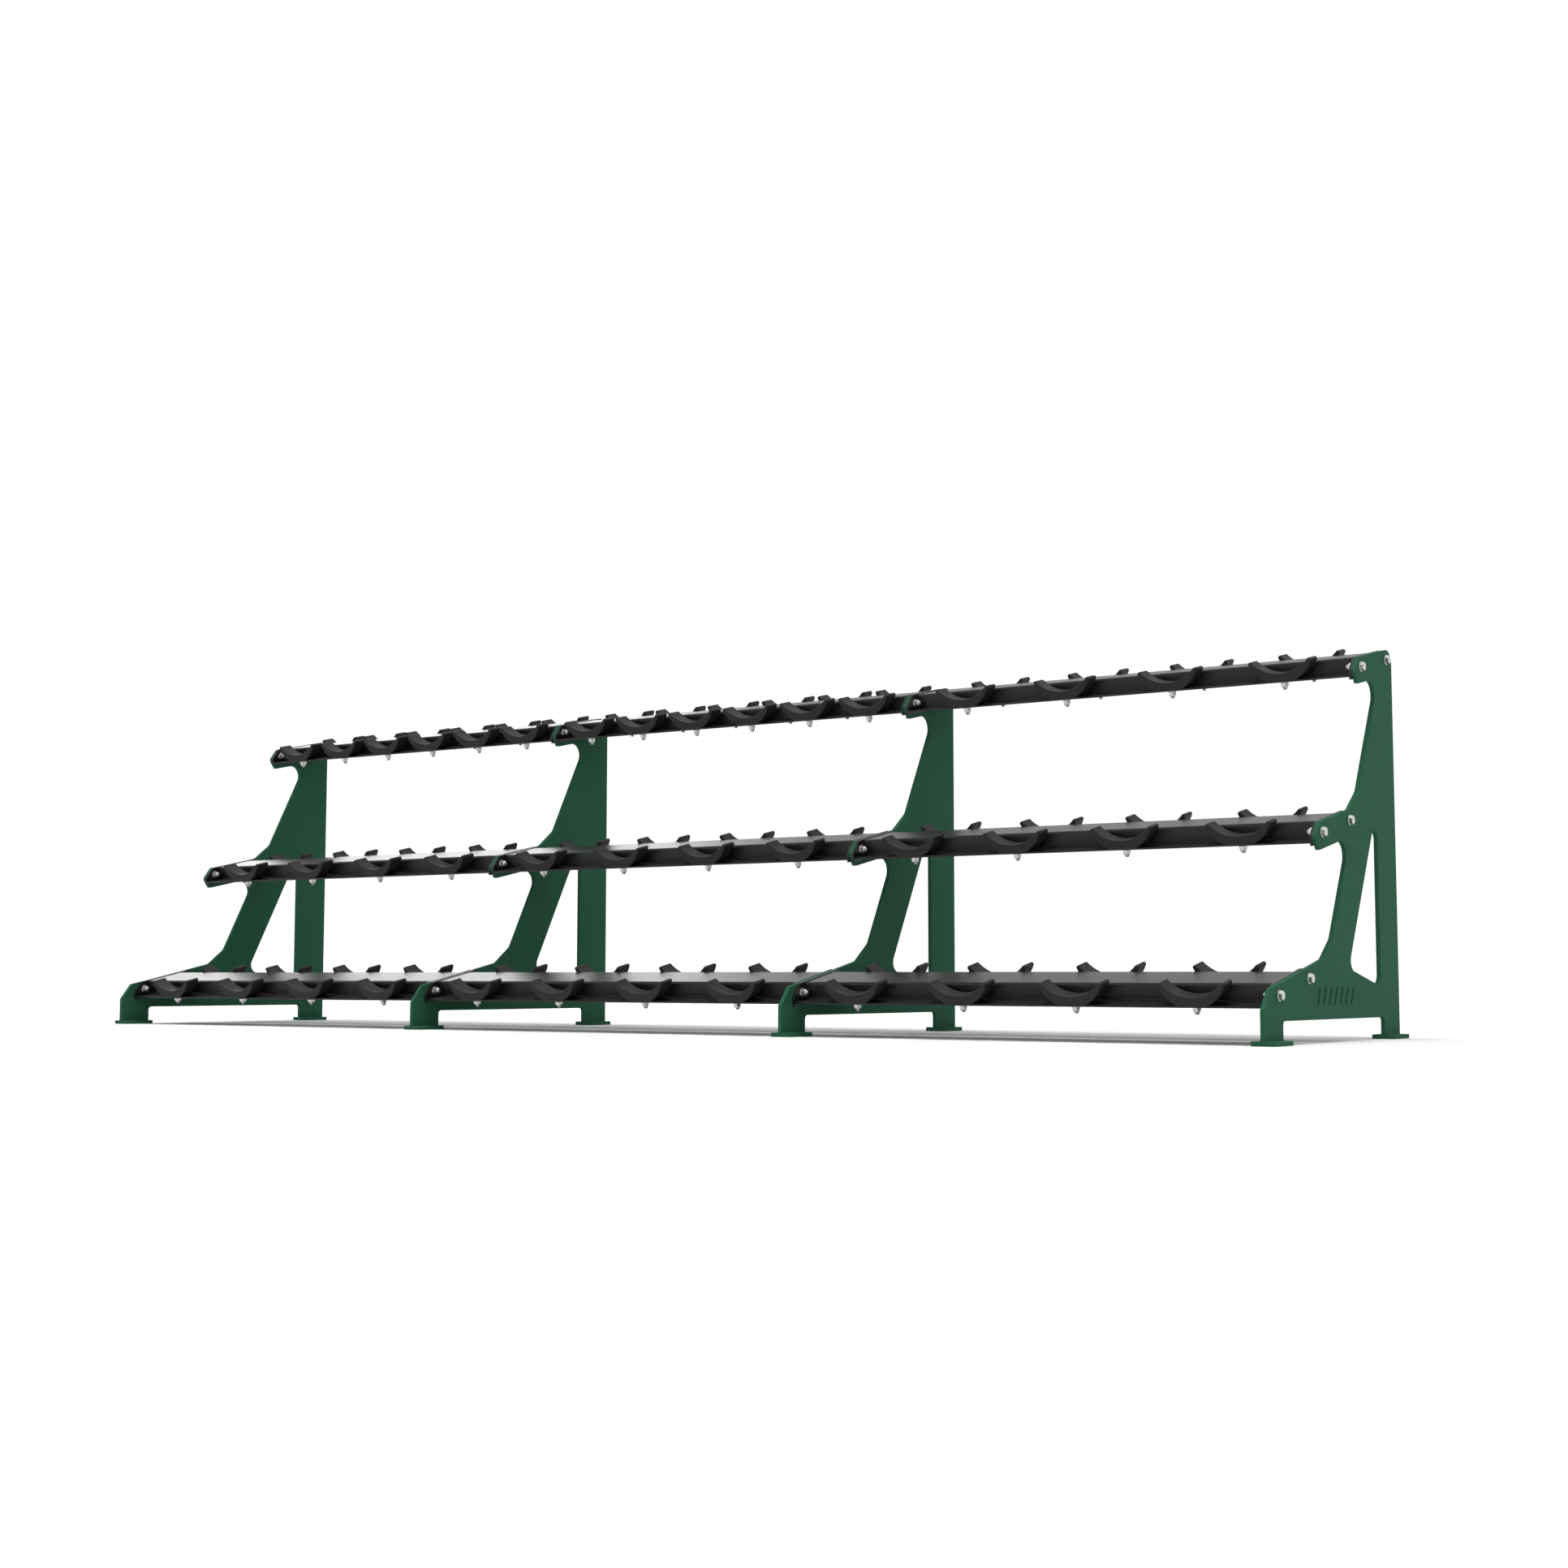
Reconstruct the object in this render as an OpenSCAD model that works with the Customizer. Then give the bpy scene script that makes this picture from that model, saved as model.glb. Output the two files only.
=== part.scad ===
// Three-tier dumbbell rack.
// Four plate uprights carry three bays of folded shelves, tilted low at the front.
// Moulded saddles stand along the front and rear ledges of every shelf, each held by a nut on
// a stud in its base. A dumbbell rests with one head in a front saddle and the other in the
// saddle behind it.
// X runs along the rack, +Y points to the back and +Z up. The origin is on the floor, at
// the middle of the footprint. Lengths are millimetres and angles are degrees.

/* [Rack] */
// Distance between neighbouring uprights, centre to centre
bay_pitch = 1200; // [1180:10:1400]
// Depth of an upright, from its front edge to its back edge
depth = 800; // [796:1:830]
// Tilt of the arms and the shelves
tilt = 12; // [11:0.5:13]

/* [Upright] */
// Thickness of the upright plate
plate_t = 10; // [8:1:12]
// Depth of the front leg and of the rear leg
leg_w = 98; // [80:1:110]
// Depth of the rear column
column_w = 119; // [105:1:125]
// Depth of the leaning strut, measured square to it
strut_w = 114.5; // [100:0.5:118]
// Lean of the strut above the floor
strut_angle = 62; // [61.5:0.5:63]
// Where the strut's front face would meet the floor, from the front edge
strut_foot_y = 266; // [260:1:272]
// Height of the arch between the legs
arch_h = 50; // [30:1:60]
// Radius of the arch's corners
arch_r = 10; // [4:1:16]
// Height at which the toe of the front leg starts to slope back
toe_h = 74; // [64:1:80]
// Distance of the top of the toe's slope from the front edge
toe_setback = 35; // [30:1:42]
// Radius under each arm where it meets the strut, and at the top rear corner
fillet_r = 32; // [20:1:36]
// Length of the flat that eases each arm's top into the strut, along either edge
ease_reach = 41; // [30:1:46]
// Height of the window's sill where it meets the rear column
sill_h = 120; // [110:1:130]
// Fall of the window's sill towards the rear column
sill_fall = 11.5; // [8:0.5:14]
// Radius of the window's two lower corners
window_low_r = 24; // [12:1:26]
// Radius of the window's top corner
window_top_r = 20; // [12:1:24]

/* [Foot plates] */
// Width of a foot plate along the rack
foot_w = 55; // [40:1:80]
// Thickness of a foot plate
foot_t = 10; // [6:1:12]
// Radius of a foot plate's corners
foot_r = 4; // [1:0.5:8]

/* [Tiers] */
// Distance of the lowest shelf's front bolts from the front edge
first_bolt_y = 77.5; // [75:0.5:80]
// Height of the lowest shelf's front bolts
first_bolt_z = 103; // [98:1:108]
// Step back from each tier to the one above it
tier_step = 258.5; // [256:0.5:259]
// Rise from the bottom tier to the middle tier
lower_rise = 353; // [348:1:358]
// Rise from the middle tier to the top tier
upper_rise = 393; // [385:1:400]

/* [Arms] */
// Distance between the front bolt and the rear bolt of a shelf
bolt_pitch = 170; // [160:1:172]
// Height of an arm's top edge above its bolts
arm_above = 23; // [22:0.5:26]
// Depth of an arm's lower edge below its bolts
arm_below = 36.5; // [32:0.5:38]
// Distance of the tip of an arm's nose in front of its front bolt
nose_reach = 38; // [36:0.5:42]

/* [Shelves] */
// Thickness of the folded shelf sheet
sheet_t = 4; // [3:0.5:5]
// Inside radius of the folds
bend_r = 3; // [2:0.5:4]
// Distance of the middle of a shelf behind its front bolt
shelf_middle = 78.5; // [77:0.5:80]
// Width of the raised deck
deck_w = 126; // [110:1:132]
// Height of the deck above the bolts
deck_above = 22; // [20:0.5:23]
// Depth of the ledges' top faces below the bolts
ledge_below = 15.5; // [15:0.5:18]
// Width of a shelf, from ledge edge to ledge edge
shelf_w = 232; // [228:1:234]
// Thickness of the end plates
end_plate_t = 6; // [4:1:8]

/* [Saddles] */
// Saddles across an ordinary shelf
wide_count = 4; // [2:1:5]
// Distance between the saddles of an ordinary shelf
wide_pitch = 284; // [230:1:290]
// Saddles across a shelf for small dumbbells
close_count = 6; // [2:1:6]
// Distance between the saddles of a shelf for small dumbbells
close_pitch = 190; // [175:1:195]
// Depth of a saddle, front to back
saddle_depth = 45; // [36:1:48]
// Radius of the trough that a dumbbell head rests in
trough_r = 95.5; // [90:0.5:100]
// Half of the angle that the trough spans
trough_half_angle = 48.5; // [40:0.5:50]
// Thickness of a saddle under the middle of its trough
saddle_floor = 18; // [17:0.5:24]
// Radius of a saddle's outer sides
shell_r = 83; // [82:0.5:88]
// Height of the centre of the outer sides above the ledge
shell_centre_h = 74.5; // [70:0.5:76]

/* [Frame bolts] */
// Thread diameter of the bolts through the uprights
frame_bolt_d = 12; // [10:1:14]
// Size of their hexagons across the flats
frame_hex = 18; // [16:1:19]
// Height of their heads
frame_head_h = 7.5; // [6:0.5:9]
// Height of their locking nuts
frame_nut_h = 12; // [8:0.5:14]
// Outside diameter of their washers
frame_washer_d = 24; // [20:1:26]
// Thickness of their washers
frame_washer_t = 2.5; // [1.5:0.5:3]

/* [Saddle studs] */
// Thread diameter of the stud that is moulded into each saddle
stud_d = 10; // [8:1:10]
// Diameter of the round head that anchors a stud in its saddle
stud_head_d = 20; // [16:1:24]
// Height of that head
stud_head_h = 4; // [3:0.5:5]
// Height of the head's underside above the ledge
stud_head_at = 6; // [4:0.5:8]
// Size of the nuts across the flats
saddle_hex = 17; // [13:1:17]
// Height of the locking nuts
saddle_nut_h = 12; // [8:0.5:12]
// Outside diameter of the washers
saddle_washer_d = 20; // [18:1:24]
// Thickness of the washers
saddle_washer_t = 2; // [1.5:0.5:2.5]

/* [Hidden] */
$fn = 48;
EPS = 1;                 // how far a cutter runs past the face that it cuts
ARC_STEP = 7.5;          // angle between neighbouring points of a rounded corner
HOLE_CLEARANCE = 1;      // added to a thread's diameter to make its hole
THREAD_SHOWN = 3;        // thread that stands out of a frame nut
STUD_THREAD_SHOWN = 5;   // thread that stands out of a saddle nut

GREEN = [0.22, 0.36, 0.29];
BLACK = [0.12, 0.12, 0.12];
RUBBER = [0.19, 0.19, 0.19];
ZINC = [0.78, 0.79, 0.78];

BAYS = 3;
UPRIGHTS = BAYS + 1;
TIERS = ["bottom", "middle", "top"];
SIDES = ["front", "rear"];
TOP = len(TIERS) - 1;
REAR = len(SIDES) - 1;

// Corners of the nose, as [along the arm, above the bolts]
nose_top = [-4, arm_above];
nose_tip = [-nose_reach, -5.5];
nose_toe = [-24, -arm_below];
nose_radii = [4, 12, 6];

// Radii of the front leg's toe, at its bottom and at its top, and of the eased corners
toe_radii = [6, 4];
ease_r = 20;

// Outline of an end plate, which is the same at the back as at the front: it stands a little
// above the arm and stops short of its lower edge
end_plate_above = arm_above + 1;
end_plate_below = 25.5;
end_plate_toe = 36; // its lower corners' distance in front of the front bolt
end_plate_r = 2;

// The row of plain slanted slots that lightens the beam
SLOTS = 7;
slot_pitch = 33;
slot_w = 9;
slot_l = 43;
slot_lean = 22;
slots_middle = [399, 100];

foot_y = [0, depth - leg_w];
bay_inside = bay_pitch - plate_t;
column_front = depth - column_w;
strut_slope = tan(strut_angle);
strut_offset = strut_w / sin(strut_angle);
deck_front = shelf_middle - deck_w / 2;
deck_rear = shelf_middle + deck_w / 2;
ledge_front = shelf_middle - shelf_w / 2;
ledge_rear = shelf_middle + shelf_w / 2;
fold_r = bend_r + sheet_t;
saddle_front = [ledge_front, ledge_rear - saddle_depth];
trough_centre_h = saddle_floor + trough_r;
frame_hole_d = frame_bolt_d + HOLE_CLEARANCE;
stud_hole_d = stud_d + HOLE_CLEARANCE;

// ---- where things are ----

// Middle of an upright along the rack
function upright_x(i) = (i - (UPRIGHTS + 1) / 2) * bay_pitch;

// Inner face of the upright at the left end of a bay
function bay_x(bay) = upright_x(bay) + plate_t / 2;

// Front bolt of a tier, as [distance from the front edge, height]
function tier_bolt(tier) = [
    first_bolt_y + tier * tier_step,
    first_bolt_z + (tier > 0 ? lower_rise : 0) + (tier > 1 ? upper_rise : 0)
];

// A point of a tilted arm, from its place along the arm and above the bolts
function on_arm(tier, along, above) = tier_bolt(tier) + [
    along * cos(tilt) - above * sin(tilt),
    along * sin(tilt) + above * cos(tilt)
];

// The first two bays of the top tier hold small dumbbells
function is_close(tier, bay) = tier == TOP && bay < BAYS;
function saddle_count(tier, bay) = is_close(tier, bay) ? close_count : wide_count;
function saddle_pitch(tier, bay) = is_close(tier, bay) ? close_pitch : wide_pitch;

// Middles of a shelf's saddles, from the inner face at the left end of the bay
function saddle_places(tier, bay) =
    let (count = saddle_count(tier, bay), pitch = saddle_pitch(tier, bay))
    [for (k = [0:count - 1]) bay_inside / 2 + (k - (count - 1) / 2) * pitch];

// ---- outlines ----

// Where the line through p at angle a crosses the line through q at angle b
function crossing(p, a, q, b) =
    let (d = q - p, reach = (d[0] * sin(b) - d[1] * cos(b)) / sin(b - a))
    p + reach * [cos(a), sin(a)];

// Size of a hexagon across its corners, from its size across its flats
function across_corners(flats) = flats / cos(30);

function unit(v) = v / norm(v);
function angle_of(v) = atan2(v[1], v[0]);

// Points of one rounded corner of an outline
function corner_arc(before, corner, after, r) =
    let (
        a = unit(before - corner),
        b = unit(after - corner),
        half = acos(a * b) / 2,
        centre = corner + unit(a + b) * r / sin(half),
        turn = sign(a[1] * b[0] - a[0] * b[1]) * (180 - 2 * half),
        first = angle_of(corner + a * r / tan(half) - centre),
        steps = ceil(abs(turn) / ARC_STEP)
    )
    [for (k = [0:steps]) centre + r * [cos(first + turn * k / steps), sin(first + turn * k / steps)]];

// An outline whose corners are given as [[y, z], radius], with radius 0 for a sharp corner
function rounded(corners) =
    let (n = len(corners))
    [for (i = [0:n - 1])
        let (corner = corners[i][0], r = corners[i][1])
        each r == 0 ? [corner]
            : corner_arc(corners[(i + n - 1) % n][0], corner, corners[(i + 1) % n][0], r)];

// Where an arm's edge, so far above its bolts, crosses the front face of the strut
function strut_corner(tier, above) =
    crossing(on_arm(tier, 0, above), tilt, [strut_foot_y, 0], strut_angle);

// The nose of an arm, from its top edge to its lower edge
function nose(tier) = [
    [on_arm(tier, nose_top[0], nose_top[1]), nose_radii[0]],
    [on_arm(tier, nose_tip[0], nose_tip[1]), nose_radii[1]],
    [on_arm(tier, nose_toe[0], nose_toe[1]), nose_radii[2]]
];

// The eased corner where the strut comes down to an arm's top edge
function eased_corner(tier) =
    let (corner = strut_corner(tier, arm_above))
    [
        [corner + ease_reach * [cos(strut_angle), sin(strut_angle)], ease_r],
        [corner - ease_reach * [cos(tilt), sin(tilt)], ease_r]
    ];

function upright_outline() = rounded(concat(
    [
        [[0, foot_t], 0],
        [[leg_w, foot_t], 0],
        [[leg_w, arch_h], arch_r],
        [[depth - leg_w, arch_h], arch_r],
        [[depth - leg_w, foot_t], 0],
        [[depth, foot_t], 0],
        [crossing([depth, 0], 90, on_arm(TOP, 0, arm_above), tilt), fillet_r]
    ],
    nose(TOP),
    [[strut_corner(TOP, -arm_below), fillet_r]],
    eased_corner(1),
    nose(1),
    [[strut_corner(1, -arm_below), fillet_r]],
    eased_corner(0),
    [
        [crossing([toe_setback, 0], 90, on_arm(0, 0, arm_above), tilt), toe_radii[1]],
        [[0, toe_h], toe_radii[0]]
    ]
));

function window_outline() =
    let (
        strut_back = [strut_foot_y + strut_offset, 0],
        sill = [column_front, sill_h],
        low_front = crossing(sill, -sill_fall, strut_back, strut_angle),
        top = [column_front, (column_front - strut_back[0]) * strut_slope]
    )
    rounded([[low_front, window_low_r], [sill, window_low_r], [top, window_top_r]]);

// The folded shelf sheet, seen along the rack
function shelf_outline() =
    let (
        ledge_top = -ledge_below,
        ledge_bottom = ledge_top - sheet_t,
        deck_under = deck_above - sheet_t
    )
    rounded([
        [[ledge_front, ledge_bottom], 0],
        [[deck_front + sheet_t, ledge_bottom], fold_r],
        [[deck_front + sheet_t, deck_under], bend_r],
        [[deck_rear - sheet_t, deck_under], bend_r],
        [[deck_rear - sheet_t, ledge_bottom], fold_r],
        [[ledge_rear, ledge_bottom], 0],
        [[ledge_rear, ledge_top], 0],
        [[deck_rear, ledge_top], bend_r],
        [[deck_rear, deck_above], fold_r],
        [[deck_front, deck_above], fold_r],
        [[deck_front, ledge_top], bend_r],
        [[ledge_front, ledge_top], 0]
    ]);

function end_plate_outline() =
    let (
        half_toe = shelf_middle + end_plate_toe,
        half_tip = shelf_middle + nose_reach,
        half_top = shelf_middle - nose_top[0]
    )
    rounded([
        [[shelf_middle - half_toe, -end_plate_below], end_plate_r],
        [[shelf_middle + half_toe, -end_plate_below], end_plate_r],
        [[shelf_middle + half_tip, nose_tip[1]], nose_radii[1]],
        [[shelf_middle + half_top, end_plate_above], nose_radii[0]],
        [[shelf_middle - half_top, end_plate_above], nose_radii[0]],
        [[shelf_middle - half_tip, nose_tip[1]], nose_radii[1]]
    ]);

// ---- placing ----

// Turns a flat outline into a plate that stands across the rack, from x for a length
module across_rack(x, length) {
    translate([x, 0, 0]) rotate([90, 0, 90]) linear_extrude(length) children();
}

// Measures from the front edge of the uprights, at the floor
module from_front_edge() {
    translate([0, -depth / 2, 0]) children();
}

// Measures from a tier's front bolt line, along and square to its tilted arms
module on_tier(tier) {
    bolt = tier_bolt(tier);
    from_front_edge() translate([0, bolt[0], bolt[1]]) rotate([tilt, 0, 0]) children();
}

// Repeats its children at each saddle of a ledge: X is the saddle's middle, Y runs back from
// its front face and Z stands square to the ledge, from the ledge's top face
module at_saddles(tier, side, bay) {
    on_tier(tier)
        for (x = saddle_places(tier, bay))
            translate([bay_x(bay) + x, saddle_front[side], -ledge_below]) children();
}

module at_every_saddle() {
    for (tier = [0:TOP], side = [0:REAR], bay = [1:BAYS]) at_saddles(tier, side, bay) children();
}

// A hole or a shank that runs along the rack
module along_rack(d, x, length) {
    translate([x, 0, 0]) rotate([0, 90, 0]) cylinder(d = d, h = length);
}

module frame_holes(x, length) {
    for (y = [0, bolt_pitch])
        translate([0, y, 0]) along_rack(frame_hole_d, x, length);
}

// ---- sub-parts ----

module slots() {
    straight = slot_l - slot_w;
    for (k = [0:SLOTS - 1])
        translate([(k - (SLOTS - 1) / 2) * slot_pitch, 0]) rotate(-slot_lean) {
            square([slot_w, straight], center = true);
            for (end = [-1, 1]) translate([0, end * straight / 2]) circle(d = slot_w);
        }
}

module upright(i) {
    x = upright_x(i) - plate_t / 2;
    color(GREEN) difference() {
        from_front_edge() across_rack(x, plate_t) difference() {
            polygon(upright_outline());
            polygon(window_outline());
            translate(slots_middle) slots();
        }
        for (tier = [0:TOP]) on_tier(tier) frame_holes(x - EPS, plate_t + 2 * EPS);
    }
}

module foot_plate(side, i) {
    half = foot_w / 2;
    y = foot_y[side];
    color(GREEN) from_front_edge() translate([upright_x(i), 0, 0]) linear_extrude(foot_t)
        polygon(rounded([
            [[-half, y], foot_r],
            [[half, y], foot_r],
            [[half, y + leg_w], foot_r],
            [[-half, y + leg_w], foot_r]
        ]));
}

module shelf(tier, bay) {
    color(BLACK) difference() {
        on_tier(tier) across_rack(bay_x(bay) + end_plate_t, bay_inside - 2 * end_plate_t)
            polygon(shelf_outline());
        for (side = [0:REAR]) at_saddles(tier, side, bay)
            translate([0, saddle_depth / 2, -sheet_t - EPS])
                cylinder(d = stud_hole_d, h = sheet_t + 2 * EPS);
    }
}

module end_plates(tier, bay) {
    left = bay_x(bay);
    right = left + bay_inside - end_plate_t;
    color(BLACK) on_tier(tier) for (x = [left, right]) difference() {
        across_rack(x, end_plate_t) polygon(end_plate_outline());
        frame_holes(x - EPS, end_plate_t + 2 * EPS);
    }
}

// One saddle: a round-sided block on a flat base, with a trough cut across its top. A wedge
// from the middle of the trough down to the base bounds it, and cuts its two tips.
module saddle() {
    wedge_half = trough_centre_h * tan(trough_half_angle);
    difference() {
        translate([0, saddle_depth, 0]) rotate([90, 0, 0]) linear_extrude(saddle_depth)
            difference() {
                intersection() {
                    translate([0, shell_centre_h]) circle(r = shell_r);
                    polygon([[0, trough_centre_h], [-wedge_half, 0], [wedge_half, 0]]);
                }
                translate([0, trough_centre_h]) circle(r = trough_r);
            }
        translate([0, saddle_depth / 2, stud_head_at]) cylinder(d = stud_head_d, h = stud_head_h);
        translate([0, saddle_depth / 2, -EPS]) cylinder(d = stud_d, h = stud_head_at + 2 * EPS);
    }
}

module saddles(tier, side, bay) {
    color(RUBBER) at_saddles(tier, side, bay) saddle();
}

// ---- fasteners ----

// A stack of plates that frame bolts clamp: where it starts, how thick it is, and whether the
// heads are on its left
function clamped(i) =
    let (
        left = i > 1 ? end_plate_t : 0,
        right = i < UPRIGHTS ? end_plate_t : 0
    )
    [upright_x(i) - plate_t / 2 - left, plate_t + left + right, i < UPRIGHTS];

// Puts its children at every frame bolt, with +X from the clamped plates towards the nut and
// X = 0 at the face under the head's washer
module at_frame_bolts() {
    for (i = [1:UPRIGHTS], tier = [0:TOP], y = [0, bolt_pitch]) {
        stack = clamped(i);
        heads_left = stack[2];
        on_tier(tier) translate([stack[0] + (heads_left ? 0 : stack[1]), y, 0])
            rotate([0, 0, heads_left ? 0 : 180]) {
                $stack_t = stack[1];
                children();
            }
    }
}

module frame_bolts() {
    color(ZINC) at_frame_bolts() {
        head_face = -frame_washer_t;
        length = $stack_t + 2 * frame_washer_t + frame_nut_h + THREAD_SHOWN;
        translate([head_face - frame_head_h, 0, 0]) rotate([0, 90, 0])
            cylinder(d = across_corners(frame_hex), h = frame_head_h, $fn = 6);
        along_rack(frame_bolt_d, head_face - EPS, length + EPS);
    }
}

module frame_washers() {
    color(ZINC) at_frame_bolts()
        for (x = [-frame_washer_t, $stack_t]) difference() {
            along_rack(frame_washer_d, x, frame_washer_t);
            along_rack(frame_hole_d, x - EPS, frame_washer_t + 2 * EPS);
        }
}

module frame_nuts() {
    x = frame_washer_t;
    color(ZINC) at_frame_bolts() translate([$stack_t, 0, 0]) difference() {
        translate([x, 0, 0]) rotate([0, 90, 0])
            cylinder(d = across_corners(frame_hex), h = frame_nut_h, $fn = 6);
        along_rack(frame_bolt_d, x - EPS, frame_nut_h + 2 * EPS);
    }
}

module saddle_studs() {
    shank = stud_head_at + sheet_t + saddle_washer_t + saddle_nut_h + STUD_THREAD_SHOWN;
    color(ZINC) at_every_saddle() translate([0, saddle_depth / 2, stud_head_at]) {
        cylinder(d = stud_head_d, h = stud_head_h);
        translate([0, 0, -shank]) cylinder(d = stud_d, h = shank + EPS);
    }
}

module saddle_washers() {
    z = -sheet_t - saddle_washer_t;
    color(ZINC) at_every_saddle() translate([0, saddle_depth / 2, z]) difference() {
        cylinder(d = saddle_washer_d, h = saddle_washer_t);
        translate([0, 0, -EPS]) cylinder(d = stud_hole_d, h = saddle_washer_t + 2 * EPS);
    }
}

module saddle_nuts() {
    z = -sheet_t - saddle_washer_t - saddle_nut_h;
    color(ZINC) at_every_saddle() translate([0, saddle_depth / 2, z]) difference() {
        cylinder(d = across_corners(saddle_hex), h = saddle_nut_h, $fn = 6);
        translate([0, 0, -EPS]) cylinder(d = stud_d, h = saddle_nut_h + 2 * EPS);
    }
}

for (i = [1:UPRIGHTS])
    upright(i);
for (side = [0:REAR], i = [1:UPRIGHTS])
    foot_plate(side, i);
for (tier = [0:TOP], bay = [1:BAYS])
    shelf(tier, bay);
for (tier = [0:TOP], bay = [1:BAYS])
    end_plates(tier, bay);
for (tier = [0:TOP], side = [0:REAR], bay = [1:BAYS])
    saddles(tier, side, bay);
frame_bolts();
frame_washers();
frame_nuts();
saddle_studs();
saddle_washers();
saddle_nuts();
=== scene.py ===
import math

import bmesh
import bpy
from mathutils import Matrix, Vector


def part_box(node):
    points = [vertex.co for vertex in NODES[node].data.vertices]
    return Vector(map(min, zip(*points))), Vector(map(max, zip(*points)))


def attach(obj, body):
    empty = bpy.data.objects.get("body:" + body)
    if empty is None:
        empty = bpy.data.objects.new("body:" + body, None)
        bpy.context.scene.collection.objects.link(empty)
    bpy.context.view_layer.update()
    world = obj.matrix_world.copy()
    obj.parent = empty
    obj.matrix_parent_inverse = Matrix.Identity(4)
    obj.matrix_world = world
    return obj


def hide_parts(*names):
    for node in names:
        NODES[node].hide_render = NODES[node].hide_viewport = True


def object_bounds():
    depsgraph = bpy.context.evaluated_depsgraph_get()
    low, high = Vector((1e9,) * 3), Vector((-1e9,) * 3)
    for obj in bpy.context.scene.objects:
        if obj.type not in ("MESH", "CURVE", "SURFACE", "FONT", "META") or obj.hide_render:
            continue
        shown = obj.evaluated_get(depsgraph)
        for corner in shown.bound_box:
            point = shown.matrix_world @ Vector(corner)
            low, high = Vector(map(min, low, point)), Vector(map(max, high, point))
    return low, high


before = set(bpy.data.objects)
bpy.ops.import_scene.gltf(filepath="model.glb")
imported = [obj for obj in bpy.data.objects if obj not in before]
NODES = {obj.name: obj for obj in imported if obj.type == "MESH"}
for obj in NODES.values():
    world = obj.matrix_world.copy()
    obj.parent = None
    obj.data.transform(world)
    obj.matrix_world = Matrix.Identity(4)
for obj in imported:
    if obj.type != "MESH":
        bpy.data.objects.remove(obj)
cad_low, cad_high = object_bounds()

# Long tiered dumbbell rack. Every CAD node is shown by one piece in the same place: plates and
# sheets get eased edges, saddles get rounded edges, and fasteners get chamfers and threads.
# Lengths are metres.

BODY = "root"
MM = 0.001
WELD = 0.01 * MM           # points closer than this are one point
FLAT = math.radians(0.6)   # faces that meet at less than this are one face

PLATE_EASE = 0.9 * MM      # rounding along the edges of the upright and foot plates
END_PLATE_EASE = 0.7 * MM
SHEET_EASE = 0.5 * MM

# Shape of a saddle, seen along its trough
TROUGH_R = 95.5 * MM
TROUGH_HALF_ANGLE = math.radians(48.5)
SADDLE_FLOOR = 18 * MM     # thickness under the middle of the trough
SHELL_R = 83 * MM
SHELL_CENTRE = 74.5 * MM   # height of the centre of the outer sides
TIP_R = 3.4 * MM           # rounding of the two tips
TIP_STEPS = 4              # segments around a tip's corner
EDGE_R = 2.4 * MM          # rounding of the front and rear edges
EDGE_STEPS = 4             # segments across a rounded edge
SHELL_STEPS = 10           # segments along each outer side
TROUGH_STEPS = 28          # segments across the trough

# Fasteners
TURNED_SIDES = 36          # segments around a hexagon head, a nut or a bolt
STUD_SIDES = 24
WASHER_SIDES = 32
THREAD_SIDES = 20
THREAD_PITCH = 0.15        # pitch of a thread, as a share of its diameter
SHANK_STOP = 3             # where a shank stops, in radii back from the tip
BOLT_THREAD = 1.2          # length of the cut thread at a frame bolt's tip, in radii
STUD_THREAD = 1.8          # the same at a saddle stud's tip
CORNER_SLOPE = math.tan(math.radians(30))    # slope of the chamfer on a hexagon's corners
STEP = 0.4 * MM            # washer face under a bolt's head, and easing of a stud's head
COLLAR_R = 2 * MM          # rounding of a locking nut's collar
COLLAR_FOOT = 0.3 * MM     # rise of the slope between a nut's hexagon and its collar
LIP_SLOPE = 0.2 * MM       # how far the collar's inner wall leans
RING_DEPTH = 0.7 * MM      # how far the nylon ring lies below the collar's top

# Light
SKY = 1.02                 # brightness of the lower part of the sky
SKY_TOP = 0.3              # its brightness straight overhead
SKY_TURN = 0.42            # sine of the height above the horizon where it begins to darken
FLOOR_TONE = 0.68


# ---- measuring the CAD model ----

def middle(node):
    low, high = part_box(node)
    return (low + high) / 2


def tilt_of_shelves():
    """Angle between the floor and the line from a front saddle to the one behind it."""
    run = middle("saddles_bottom_rear_1") - middle("saddles_bottom_front_1")
    return math.atan2(run.z, run.y)


TILT = tilt_of_shelves()
ALONG = Vector((1, 0, 0))                              # along the rack
BACK = Vector((0, math.cos(TILT), math.sin(TILT)))     # up the slope of the shelves
SQUARE = Vector((0, -math.sin(TILT), math.cos(TILT)))  # square to the shelves


def welded(node):
    """A CAD node's faces as one closed skin."""
    source = NODES[node].data
    bm = bmesh.new()
    points = [bm.verts.new(v.co) for v in source.vertices]
    for polygon in source.polygons:
        bm.faces.new([points[i] for i in polygon.vertices])
    bmesh.ops.remove_doubles(bm, verts=bm.verts, dist=WELD)
    return bm


def solids(node):
    """The separate solids of a CAD node, each as a list of its points."""
    bm = welded(node)
    found, seen = [], set()
    for start in bm.verts:
        if start in seen:
            continue
        seen.add(start)
        waiting, solid = [start], []
        while waiting:
            vert = waiting.pop()
            solid.append(vert.co.copy())
            for edge in vert.link_edges:
                other = edge.other_vert(vert)
                if other not in seen:
                    seen.add(other)
                    waiting.append(other)
        found.append(solid)
    bm.free()
    return found


def span(points, direction):
    """Least and greatest reach of some points in a direction."""
    reach = [p.dot(direction) for p in points]
    return min(reach), max(reach)


def size_along(points, direction):
    low, high = span(points, direction)
    return high - low


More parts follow.
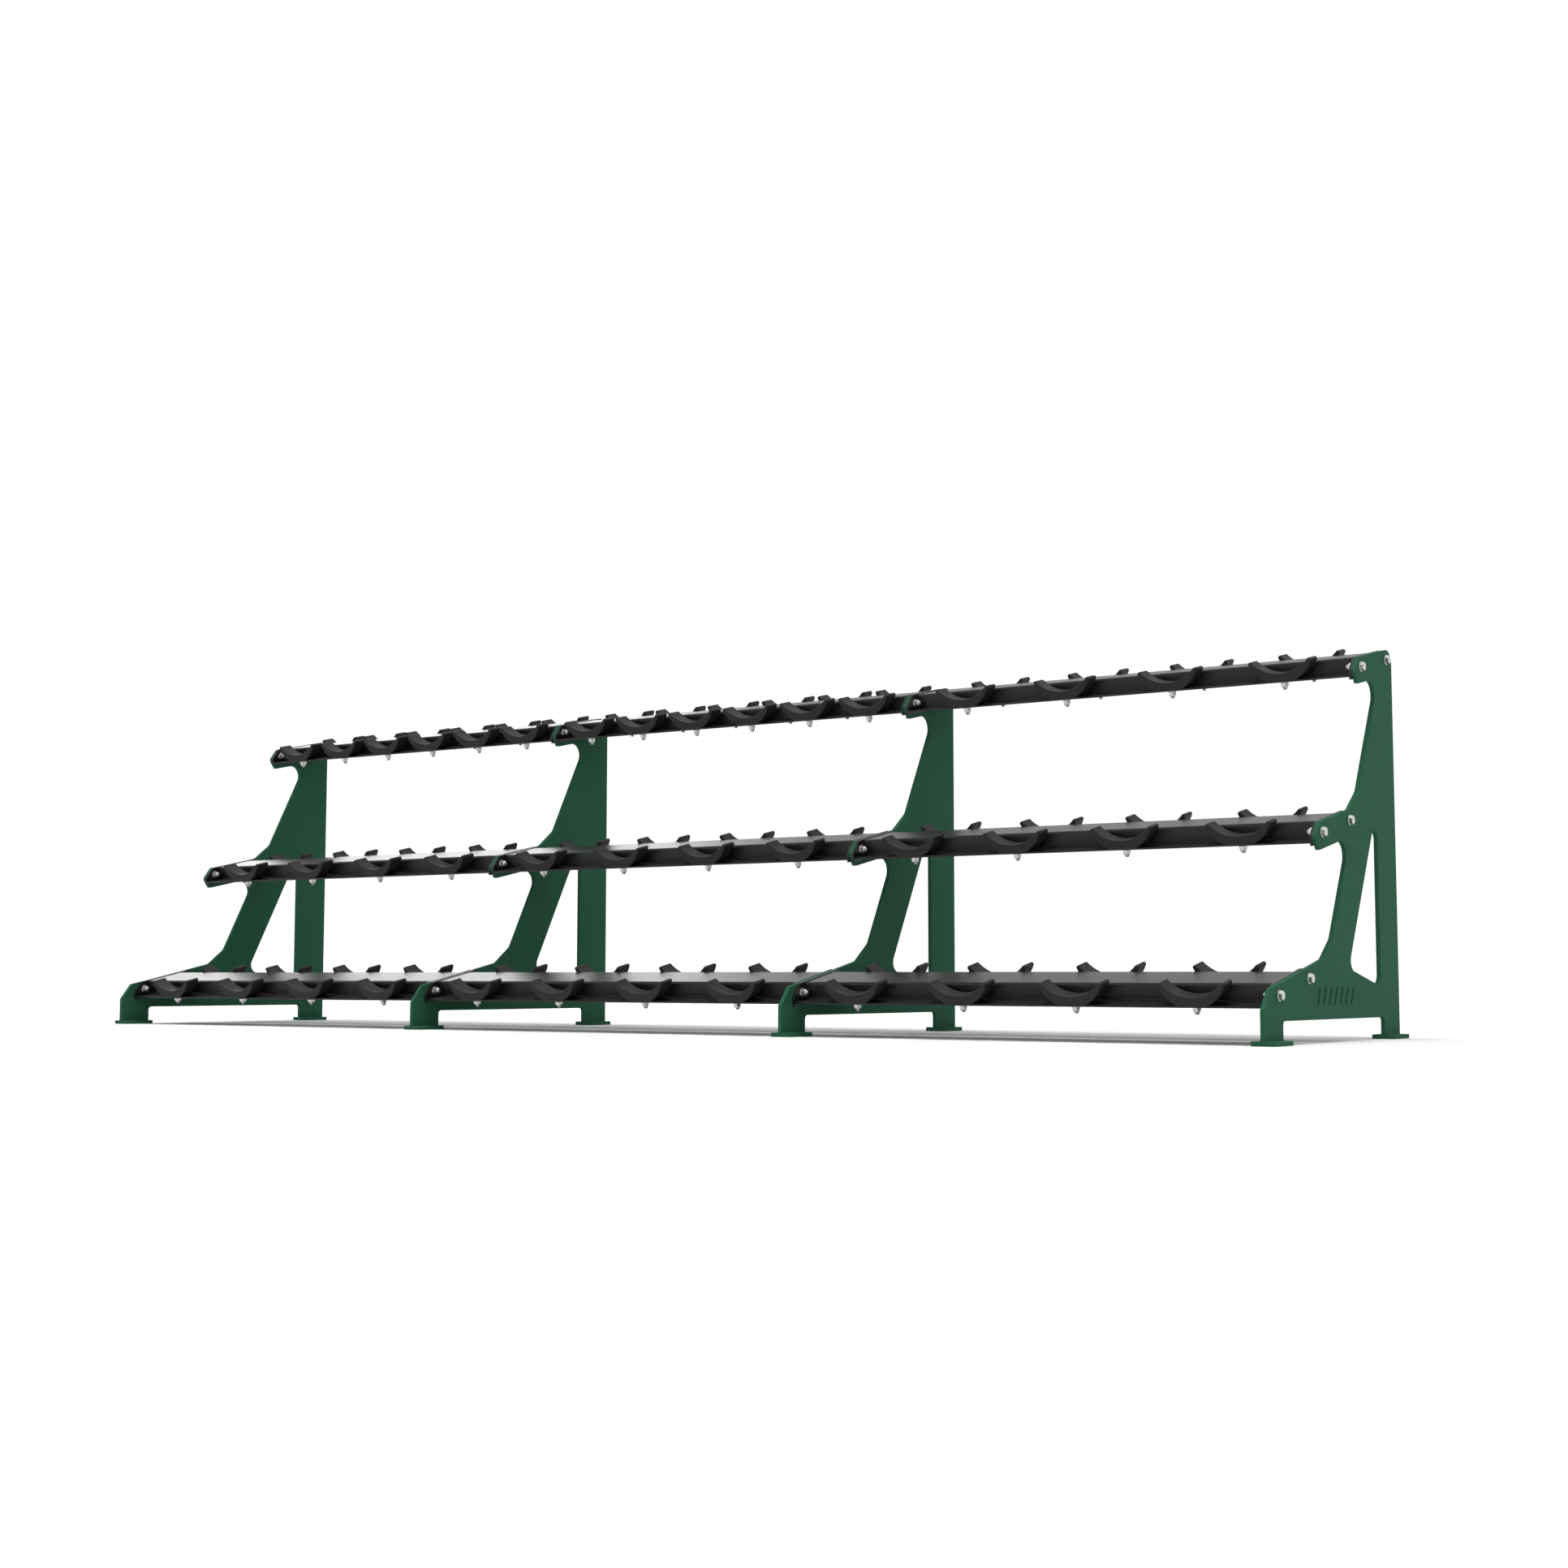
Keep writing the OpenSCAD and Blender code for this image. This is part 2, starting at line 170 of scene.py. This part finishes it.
def seat(points, axis, corner):
    """Where a solid sits: Z runs along its axis from its start, and X points to a corner."""
    side = axis.cross(corner)
    origin = axis * span(points, axis)[0]
    for direction in (corner, side):
        origin = origin + direction * sum(span(points, direction)) / 2
    return Matrix((
        (corner.x, side.x, axis.x, origin.x),
        (corner.y, side.y, axis.y, origin.y),
        (corner.z, side.z, axis.z, origin.z),
        (0, 0, 0, 1),
    ))


UPRIGHT_X = [middle(f"upright_{i}").x for i in range(1, 5)]


def towards_nut(points):
    """Direction from the head of a frame bolt to its nut, found from the bolt or the nut."""
    x = sum(span(points, ALONG)) / 2
    nearest = min(UPRIGHT_X, key=lambda upright: abs(upright - x))
    return ALONG if x > nearest else -ALONG


def bolt_sizes(points, axis, corner):
    """Radius of a bolt's thread, height of its head and its whole length."""
    to_bolt = seat(points, axis, corner).inverted()
    local = [to_bolt @ p for p in points]
    length = max(p.z for p in local)
    thread_r = max(math.hypot(p.x, p.y) for p in local if p.z > length - WELD)
    head_h = max(p.z for p in local if math.hypot(p.x, p.y) > thread_r + WELD)
    return thread_r, head_h, length


# ---- materials ----

NOISE_LOW, NOISE_HIGH = 0.3, 0.7    # noise seldom strays outside these
GREEN = (0.0215, 0.0905, 0.0500)
BLACK = (0.0065, 0.0065, 0.0065)
MOULDED = (0.0190, 0.0190, 0.0190)
EDGE_HIGHLIGHT_GREEN = 1.12              # painted highlight: how much lighter the green coat is on its eased edges
# painted highlight: how much lighter the black coat is on its eased edges
EDGE_HIGHLIGHT_BLACK = 1.5


def add(tree, kind, inputs=None):
    """A shader node with its constant inputs set."""
    made = tree.nodes.new(kind)
    for name, value in (inputs or {}).items():
        made.inputs[name].default_value = value
    return made


def blank(name, **inputs):
    """A material with its shader's constant inputs set."""
    mat = bpy.data.materials.new(name)
    mat.use_nodes = True
    shader = mat.node_tree.nodes["Principled BSDF"]
    for input_name, value in inputs.items():
        shader.inputs[input_name.replace("_", " ")].default_value = value
    return mat, mat.node_tree, shader


def noise(tree, scale, detail=2.0, roughness=0.5, stretch=None):
    """Noise that is fixed to the object, with so many features to the metre."""
    where = add(tree, "ShaderNodeTexCoord")
    vector = where.outputs["Object"]
    if stretch:
        mapping = add(tree, "ShaderNodeMapping", {"Scale": stretch})
        tree.links.new(vector, mapping.inputs["Vector"])
        vector = mapping.outputs["Vector"]
    values = {"Scale": scale, "Detail": detail, "Roughness": roughness}
    made = add(tree, "ShaderNodeTexNoise", values)
    tree.links.new(vector, made.inputs["Vector"])
    return made.outputs["Fac"]


def tone(tree, factor, dark, light):
    """A colour that runs between two tones as noise does."""
    ramp = add(tree, "ShaderNodeValToRGB")
    first, last = ramp.color_ramp.elements
    first.position, first.color = NOISE_LOW, (*dark, 1)
    last.position, last.color = NOISE_HIGH, (*light, 1)
    tree.links.new(factor, ramp.inputs["Fac"])
    return ramp.outputs["Color"]


def spread(tree, factor, low, high):
    """A number that runs between two values as noise does."""
    values = {"From Min": NOISE_LOW, "From Max": NOISE_HIGH, "To Min": low, "To Max": high}
    made = add(tree, "ShaderNodeMapRange", values)
    tree.links.new(factor, made.inputs["Value"])
    return made.outputs["Result"]


def bumps(tree, shader, *layers):
    """Bump from layers of (height, depth in metres), one on top of the other."""
    below = None
    for height, depth in layers:
        made = add(tree, "ShaderNodeBump", {"Strength": 1.0, "Distance": depth})
        tree.links.new(height, made.inputs["Height"])
        if below:
            tree.links.new(below, made.inputs["Normal"])
        below = made.outputs["Normal"]
    tree.links.new(below, shader.inputs["Normal"])


def shade(colour, amount):
    return tuple(amount * c for c in colour)


def green_powder_coat(name, highlight_lift=1.0):
    """Smooth powder coat: faint orange peel, and a slow drift of tone and gloss; a lift above 1
    lightens it all, painting a highlight on eased edges.
    """
    mat, tree, shader = blank(name, Specular_IOR_Level=0.05)
    drift = noise(tree, 5, 5)
    colour = tone(tree, drift, shade(GREEN, 0.97 * highlight_lift), shade(GREEN, 1.03 * highlight_lift))
    tree.links.new(colour, shader.inputs["Base Color"])
    tree.links.new(spread(tree, noise(tree, 40, 3), 0.66, 0.74), shader.inputs["Roughness"])
    bumps(tree, shader, (noise(tree, 350), 0.04 * MM), (noise(tree, 1500, 3), 0.012 * MM))
    return mat


def black_powder_coat(name, highlight_lift=1.0):
    """Sandy black powder coat over folded sheet; a lift above 1 lightens it all, painting a
    highlight on eased edges.
    """
    mat, tree, shader = blank(name, Specular_IOR_Level=0.33)
    sand = noise(tree, 420, 3, 0.65)
    colour = tone(tree, sand, shade(BLACK, 0.6 * highlight_lift), shade(BLACK, 1.5 * highlight_lift))
    tree.links.new(colour, shader.inputs["Base Color"])
    tree.links.new(spread(tree, noise(tree, 450, 4, 0.6), 0.32, 0.40), shader.inputs["Roughness"])
    bumps(tree, shader, (sand, 0.26 * MM), (noise(tree, 3000), 0.01 * MM))
    return mat


def moulded_black(name):
    """Moulded polyurethane with a fine grain."""
    mat, tree, shader = blank(name, Specular_IOR_Level=0.16)
    drift = noise(tree, 60, 5)
    colour = tone(tree, drift, shade(MOULDED, 0.94), shade(MOULDED, 1.06))
    tree.links.new(colour, shader.inputs["Base Color"])
    tree.links.new(spread(tree, noise(tree, 300, 4), 0.50, 0.58), shader.inputs["Roughness"])
    bumps(tree, shader, (noise(tree, 1400, 3), 0.03 * MM))
    return mat


def zinc_plate(name):
    """Bright zinc with faint turning marks and a drift of gloss."""
    mat, tree, shader = blank(name, Metallic=1.0)
    drift = noise(tree, 180, 4)
    colour = tone(tree, drift, (0.50, 0.50, 0.49), (0.62, 0.62, 0.61))
    tree.links.new(colour, shader.inputs["Base Color"])
    tree.links.new(spread(tree, noise(tree, 500, 3), 0.24, 0.38), shader.inputs["Roughness"])
    marks = noise(tree, 1500, 2, stretch=(1, 0.2, 0.2))
    bumps(tree, shader, (marks, 0.008 * MM), (noise(tree, 3500), 0.004 * MM))
    return mat


def nylon(name):
    """The ring that locks a nut."""
    mat, tree, shader = blank(name, Subsurface_Weight=0.1, Specular_IOR_Level=0.4)
    colour = tone(tree, noise(tree, 400, 3), (0.60, 0.60, 0.57), (0.72, 0.72, 0.69))
    tree.links.new(colour, shader.inputs["Base Color"])
    tree.links.new(spread(tree, noise(tree, 900), 0.4, 0.55), shader.inputs["Roughness"])
    bumps(tree, shader, (noise(tree, 2000), 0.01 * MM))
    return mat


# ---- making pieces ----

def piece(node, bm, slot, *materials):
    """Shows a CAD node by a mesh of its own."""
    bmesh.ops.recalc_face_normals(bm, faces=bm.faces)
    mesh = bpy.data.meshes.new(f"{node}_shown")
    bm.to_mesh(mesh)
    bm.free()
    for mat in materials:
        mesh.materials.append(mat)
    mesh.shade_smooth()
    shown = bpy.data.objects.new(f"{node}_shown", mesh)
    bpy.context.scene.collection.objects.link(shown)
    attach(shown, BODY)
    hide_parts(node)
    return shown


def even_normals(shown):
    """Keeps flat faces flat and lets only their narrow edges turn the light."""
    weighted = shown.modifiers.new("normals", "WEIGHTED_NORMAL")
    weighted.keep_sharp = True
    weighted.weight = 100


def eased_plate(node, slot, width, face, edge):
    """A CAD plate or sheet with its edges eased."""
    bm = welded(node)
    bmesh.ops.dissolve_limit(bm, angle_limit=FLAT, verts=bm.verts, edges=bm.edges)
    shown = piece(node, bm, slot, face, edge)
    bevel = shown.modifiers.new("eased", "BEVEL")
    bevel.width = width
    bevel.segments = 2
    bevel.limit_method = "ANGLE"
    bevel.angle_limit = math.radians(35)
    # the eased edge strips take the second material, a lighter copy that paints a highlight along
    # them
    bevel.material = 1
    bevel.use_clamp_overlap = True
    even_normals(shown)


def loop_faces(bm, first, second, material=0):
    """Joins two rings of points that have the same count."""
    count = len(first)
    for k in range(count):
        n = (k + 1) % count
        face = bm.faces.new((first[k], first[n], second[n], second[k]))
        face.material_index = material


def skin(bm, rings):
    """A closed skin over rings of points, with a cap on either end."""
    rows = [[bm.verts.new(p) for p in ring] for ring in rings]
    for first, second in zip(rows, rows[1:]):
        loop_faces(bm, first, second)
    bm.faces.new(rows[0])
    bm.faces.new(rows[-1])


def tube(bm, rings, inlaid=()):
    """A closed skin over rings that come back to the first, with some bands inlaid."""
    rows = [[bm.verts.new(p) for p in ring] for ring in rings]
    for k, row in enumerate(rows):
        loop_faces(bm, row, rows[(k + 1) % len(rows)], 1 if k in inlaid else 0)


def placed(bm, whole, place):
    """Adds one part's faces to the whole, in their place."""
    mesh = bpy.data.meshes.new("part")
    bm.to_mesh(mesh)
    before = len(whole.verts)
    whole.from_mesh(mesh)
    whole.verts.ensure_lookup_table()
    bmesh.ops.transform(whole, matrix=place, verts=whole.verts[before:])
    bpy.data.meshes.remove(mesh)


# ---- saddles ----

def unit(v):
    return v / v.length


def corner_arc(before, corner, after, r):
    """Points of a rounded corner."""
    a, b = unit(before - corner), unit(after - corner)
    half = math.acos(a.dot(b)) / 2
    centre = corner + unit(a + b) * (r / math.sin(half))
    start = corner + a * (r / math.tan(half)) - centre
    end = corner + b * (r / math.tan(half)) - centre
    sweep = math.atan2(start.x * end.y - start.y * end.x, start.dot(end))
    turns = [sweep * k / TIP_STEPS for k in range(TIP_STEPS + 1)]
    return [centre + Matrix.Rotation(turn, 2) @ start for turn in turns]


def saddle_profile(inset):
    """Outline of a saddle seen from the front, drawn in from all its sides but the base."""
    trough_r, shell_r = TROUGH_R + inset, SHELL_R - inset
    shell_centre = Vector((0, SHELL_CENTRE))
    trough_centre = Vector((0, SADDLE_FLOOR + TROUGH_R))
    # The top of a tip lies on a line out from the trough's centre, and meets the trough at
    # its inner end and the outer side at its outer end.
    out = Vector((math.sin(TROUGH_HALF_ANGLE), -math.cos(TROUGH_HALF_ANGLE)))
    start = trough_centre + Vector((out.y, -out.x)) * inset
    inner = start + out * math.sqrt(trough_r ** 2 - inset ** 2)
    to_shell = start - shell_centre
    reach = math.sqrt(to_shell.dot(out) ** 2 - to_shell.length_squared + shell_r ** 2)
    outer = start + out * (reach - to_shell.dot(out))

    low = -math.asin(SHELL_CENTRE / shell_r)
    high = math.asin((outer.y - SHELL_CENTRE) / shell_r)
    shell = []
    for k in range(SHELL_STEPS):
        angle = low + (high - low) * k / SHELL_STEPS
        shell.append(shell_centre + Vector((math.cos(angle), math.sin(angle))) * shell_r)
    trough = []
    half = math.asin(inner.x / trough_r)
    for k in range(1, TROUGH_STEPS):
        angle = half * (1 - 2 * k / TROUGH_STEPS)
        trough.append(trough_centre + Vector((math.sin(angle), -math.cos(angle))) * trough_r)
    tip = corner_arc(shell[-1], outer, inner, TIP_R - inset)
    tip += corner_arc(outer, inner, trough[0], TIP_R - inset)
    right = shell + tip
    return right + trough + [Vector((-p.x, p.y)) for p in reversed(right)]


def saddle(depth):
    """One saddle: X across it, Y back from its front face and Z up from its base."""
    rings = []
    for k in range(EDGE_STEPS + 1):
        turn = k / EDGE_STEPS * math.pi / 2
        outline = saddle_profile(EDGE_R * (1 - math.sin(turn)))
        y = EDGE_R * (1 - math.cos(turn))
        rings.append([(p.x, y, p.y) for p in outline])
    rear = [[(x, depth - y, z) for x, y, z in ring] for ring in reversed(rings)]
    bm = bmesh.new()
    skin(bm, rings + rear)
    return bm


def saddles(node, material):
    """Every saddle on one ledge of a shelf."""
    found = solids(node)
    depth = size_along(found[0], BACK)
    one = saddle(depth)
    tilted = Matrix((ALONG, BACK, SQUARE)).transposed().to_4x4()
    whole = bmesh.new()
    for points in found:
        origin = ALONG * sum(span(points, ALONG)) / 2
        origin += BACK * span(points, BACK)[0] + SQUARE * span(points, SQUARE)[0]
        placed(one, whole, Matrix.Translation(origin) @ tilted)
    one.free()
    shown = piece(node, whole, "moulded_black", material)
    shown.data.set_sharp_from_angle(angle=math.radians(50))
    even_normals(shown)


# ---- fasteners ----

def circle(r, z, sides=TURNED_SIDES):
    steps = [2 * math.pi * k / sides for k in range(sides)]
    return [(r * math.cos(a), r * math.sin(a), z) for a in steps]


def hexagon(flats, z, chamfer_r=None, way=1):
    """A ring of a hexagon; where a chamfer cuts it, its corners fall away from the face."""
    ring = []
    for k in range(TURNED_SIDES):
        angle = 2 * math.pi * k / TURNED_SIDES
        to_flat = angle % (math.pi / 3) - math.pi / 6
        r = flats / 2 / math.cos(to_flat)
        fall = (r - chamfer_r) * CORNER_SLOPE if chamfer_r else 0
        ring.append((r * math.cos(angle), r * math.sin(angle), z + way * fall))
    return ring


def thread(bm, r, start, end):
    """A screw thread that runs out at its start and is chamfered at its end."""
    pitch = 2 * r * THREAD_PITCH
    root = r - 0.6 * pitch
    tip = root - 0.3 * pitch

    def point(k, crest):
        z = start - pitch + pitch * (k / THREAD_SIDES + (0.5 if crest else 0))
        z = min(max(z, start), end)
        reach = min(r if crest else root, root + (z - start), tip + (end - z))
        a = 2 * math.pi * k / THREAD_SIDES
        return bm.verts.new((reach * math.cos(a), reach * math.sin(a), z))

    count = (math.ceil((end - start) / pitch) + 3) * THREAD_SIDES
    roots = [point(k, False) for k in range(count)]
    crests = [point(k, True) for k in range(count)]
    for k in range(count - THREAD_SIDES - 1):
        bm.faces.new((roots[k], roots[k + 1], crests[k + 1], crests[k]))
        above = roots[k + THREAD_SIDES], roots[k + THREAD_SIDES + 1]
        bm.faces.new((crests[k], crests[k + 1], above[1], above[0]))
    for reach, z in ((root, start), (tip, end)):
        bm.faces.new([bm.verts.new(p) for p in circle(reach, z, THREAD_SIDES)])
    bmesh.ops.remove_doubles(bm, verts=bm.verts, dist=WELD)
    bmesh.ops.dissolve_degenerate(bm, edges=bm.edges, dist=WELD)


def threaded_end(bm, r, start, end):
    """Adds the end of a bolt or stud that shows past its nut."""
    part = bmesh.new()
    thread(part, r, start, end)
    placed(part, bm, Matrix.Identity(4))
    part.free()


def shank(r, start, length, sides):
    """Rings of a plain shank, which stops where its nut and washer hide its end."""
    stop = length - SHANK_STOP * r
    chamfer = 0.2 * r
    return [
        circle(r, start, sides),
        circle(r, stop - chamfer, sides),
        circle(r - chamfer, stop, sides),
    ]


def frame_bolt(sizes, flats):
    """A hexagon bolt, from the face of its head to its tip."""
    r, head_h, length = sizes
    chamfer_r = 0.475 * flats
    head = [
        circle(chamfer_r, 0),
        hexagon(flats, 0, chamfer_r),
        hexagon(flats, head_h - STEP),
        circle(chamfer_r, head_h - STEP),
        circle(chamfer_r, head_h),
    ]
    bm = bmesh.new()
    skin(bm, head + shank(r, head_h, length, TURNED_SIDES))
    threaded_end(bm, r, length - BOLT_THREAD * r, length)
    return bm


def saddle_stud(points):
    """A stud, from the round head inside its saddle to its threaded tip."""
    r, head_h, length = bolt_sizes(points, -SQUARE, ALONG)
    head_r = size_along(points, ALONG) / 2
    head = [
        circle(head_r - STEP, 0, STUD_SIDES),
        circle(head_r, STEP, STUD_SIDES),
        circle(head_r, head_h - STEP, STUD_SIDES),
        circle(head_r - STEP, head_h, STUD_SIDES),
    ]
    bm = bmesh.new()
    skin(bm, head + shank(r, head_h, length, STUD_SIDES))
    threaded_end(bm, r, length - STUD_THREAD * r, length)
    return bm


def locking_nut(flats, height, bore_r):
    """A hexagon nut with a rounded collar that holds a nylon ring."""
    bm = bmesh.new()
    chamfer_r = 0.48 * flats
    collar_r = 0.455 * flats
    shoulder = 0.64 * height
    lip_r = collar_r - COLLAR_R
    collar = []
    for turn in (0, math.pi / 6, math.pi / 3, math.pi / 2):
        reach = lip_r + COLLAR_R * math.cos(turn)
        collar.append(circle(reach, height - COLLAR_R * (1 - math.sin(turn))))
    rings = [
        circle(bore_r, 0),
        circle(chamfer_r, 0),
        hexagon(flats, 0, chamfer_r),
        hexagon(flats, shoulder, chamfer_r, -1),
        circle(chamfer_r, shoulder),
        circle(collar_r, shoulder + COLLAR_FOOT),
        *collar,
        circle(lip_r - LIP_SLOPE, height - RING_DEPTH),
    ]
    tube(bm, rings + [circle(bore_r, height - RING_DEPTH)], inlaid=[len(rings) - 1])
    return bm


def washer(outer_r, thickness, bore_r):
    """A flat washer with eased edges."""
    bm = bmesh.new()
    ease = 0.25 * thickness
    section = [
        (bore_r, ease), (bore_r, thickness - ease),
        (bore_r + ease, thickness), (outer_r - ease, thickness),
        (outer_r, thickness - ease), (outer_r, ease),
        (outer_r - ease, 0), (bore_r + ease, 0),
    ]
    tube(bm, [circle(r, z, WASHER_SIDES) for r, z in section])
    return bm


def fasteners(node, axis_of, corner, part_of, *materials):
    """Every fastener of one kind: each is made where its CAD solid sits."""
    whole = bmesh.new()
    for points in solids(node):
        part = part_of(points)
        placed(part, whole, seat(points, axis_of(points), corner))
        part.free()
    shown = piece(node, whole, "zinc_plate", *materials)
    shown.data.set_sharp_from_angle(angle=math.radians(33))
    even_normals(shown)


def frame_fasteners(zinc, ring):
    flats = size_along(solids("frame_nuts")[0], BACK)

    def sizes(points):
        return bolt_sizes(points, towards_nut(points), SQUARE)

    thread_r = sizes(solids("frame_bolts")[0])[0]

    def bolt(points):
        return frame_bolt(sizes(points), flats)

    def nut(points):
        return locking_nut(flats, size_along(points, ALONG), thread_r)

    def flat_washer(points):
        return washer(size_along(points, BACK) / 2, size_along(points, ALONG), thread_r)

    fasteners("frame_bolts", towards_nut, SQUARE, bolt, zinc)
    fasteners("frame_nuts", towards_nut, SQUARE, nut, zinc, ring)
    fasteners("frame_washers", towards_nut, SQUARE, flat_washer, zinc)


def saddle_fasteners(zinc, ring):
    def down(_):
        return -SQUARE

    thread_r = bolt_sizes(solids("saddle_studs")[0], -SQUARE, ALONG)[0]

    def nut(points):
        return locking_nut(size_along(points, BACK), size_along(points, SQUARE), thread_r)

    def flat_washer(points):
        return washer(size_along(points, BACK) / 2, size_along(points, SQUARE), thread_r)

    fasteners("saddle_studs", down, ALONG, saddle_stud, zinc)
    fasteners("saddle_nuts", down, ALONG, nut, zinc, ring)
    fasteners("saddle_washers", down, ALONG, flat_washer, zinc)


# ---- studio ----

def sky():
    """A plain white sky that darkens overhead."""
    world = bpy.data.worlds.new("studio")
    bpy.context.scene.world = world
    world.use_nodes = True
    tree = world.node_tree
    direction = add(tree, "ShaderNodeTexCoord")
    split = add(tree, "ShaderNodeSeparateXYZ")
    heights = {"From Min": SKY_TURN, "From Max": 1.0, "To Min": SKY, "To Max": SKY_TOP}
    fall = add(tree, "ShaderNodeMapRange", heights)
    tree.links.new(direction.outputs["Generated"], split.inputs["Vector"])
    tree.links.new(split.outputs["Z"], fall.inputs["Value"])
    background = tree.nodes["Background"]
    background.inputs["Color"].default_value = (1, 1, 1, 1)
    tree.links.new(fall.outputs["Result"], background.inputs["Strength"])


def floor(low, high):
    """A plain pale floor that reaches well past the rack on every side."""
    spare = Vector((4, 4.5, 0))
    bm = bmesh.new()
    bmesh.ops.create_grid(bm, x_segments=12, y_segments=8, size=1)
    bmesh.ops.scale(bm, vec=(high - low) / 2 + spare, verts=bm.verts)
    mesh = bpy.data.meshes.new("floor")
    bm.to_mesh(mesh)
    bm.free()
    mat, tree, shader = blank("floor", Roughness=0.9, Specular_IOR_Level=0.0)
    dark, light = [FLOOR_TONE - 0.01] * 3, [FLOOR_TONE + 0.01] * 3
    tree.links.new(tone(tree, noise(tree, 3), dark, light), shader.inputs["Base Color"])
    mesh.materials.append(mat)
    made = bpy.data.objects.new("floor", mesh)
    made.location.z = low.z
    bpy.context.scene.collection.objects.link(made)


def link_lamp(lamp, place, aim):
    """Puts a lamp in the scene, turned towards a point and hidden from the camera."""
    made = bpy.data.objects.new(lamp.name, lamp)
    made.location = place
    made.rotation_euler = (aim - place).to_track_quat("-Z", "Y").to_euler()
    made.visible_camera = False
    bpy.context.scene.collection.objects.link(made)


def lights(low, high):
    """Soft light from straight above, and a wide panel behind the left end."""
    mid = (low + high) / 2
    overhead = mid + Vector((0, 0, 4))
    behind_left_end = mid + Vector((-7.4, 5.4, 2.9))

    above = bpy.data.lights.new("overhead", "SUN")
    above.energy = 2.8
    above.angle = math.radians(24)
    link_lamp(above, overhead, mid)

    panel = bpy.data.lights.new("panel", "AREA")
    panel.shape = "RECTANGLE"
    panel.size, panel.size_y = 5, 3
    panel.energy = 155
    link_lamp(panel, behind_left_end, mid)


def camera():
    """Low in front of the right-hand end, looking along the rack and a little up.

    Its values bring the edges of the rack onto those of the photo.
    """
    data = bpy.data.cameras.new("camera")
    data.lens = 49.96
    data.sensor_width = 36
    made = bpy.data.objects.new("camera", data)
    place = Vector((3.5568, -4.6039, 0.1391))
    yaw, pitch, roll = (math.radians(a) for a in (35.015, 5.083, 0.054))
    right = Vector((math.cos(yaw), math.sin(yaw), 0))
    level = Vector((-math.sin(yaw), math.cos(yaw), 0))
    ahead = level * math.cos(pitch) + Vector((0, 0, math.sin(pitch)))
    upright = Matrix((right, right.cross(ahead), -ahead)).transposed()
    turned = upright @ Matrix.Rotation(roll, 3, "Z")
    made.matrix_world = Matrix.Translation(place) @ turned.to_4x4()
    bpy.context.scene.collection.objects.link(made)
    bpy.context.scene.camera = made


# ---- the rack ----

green = green_powder_coat("green_powder_coat")
# a lighter copy of the green coat for its eased edges: a painted highlight
green_edge_highlight = green_powder_coat("green_powder_coat_edge_highlight", EDGE_HIGHLIGHT_GREEN)
black = black_powder_coat("black_powder_coat")
# a lighter copy of the black coat for its eased edges: a painted highlight
black_edge_highlight = black_powder_coat("black_powder_coat_edge_highlight", EDGE_HIGHLIGHT_BLACK)
moulded = moulded_black("moulded_black")
zinc = zinc_plate("zinc_plate")
ring = nylon("nylon")

for node in sorted(NODES):
    if node.startswith(("upright_", "foot_plate_")):
        eased_plate(node, "green_powder_coat", PLATE_EASE, green, green_edge_highlight)
    elif node.startswith("end_plates_"):
        eased_plate(node, "black_powder_coat", END_PLATE_EASE, black, black_edge_highlight)
    elif node.startswith("shelf_"):
        eased_plate(node, "black_powder_coat", SHEET_EASE, black, black_edge_highlight)
    elif node.startswith("saddles_"):
        saddles(node, moulded)
frame_fasteners(zinc, ring)
saddle_fasteners(zinc, ring)

sky()
floor(cad_low, cad_high)
lights(cad_low, cad_high)
camera()
bpy.context.scene.view_settings.view_transform = "Standard"
bpy.context.scene.view_settings.look = "None"
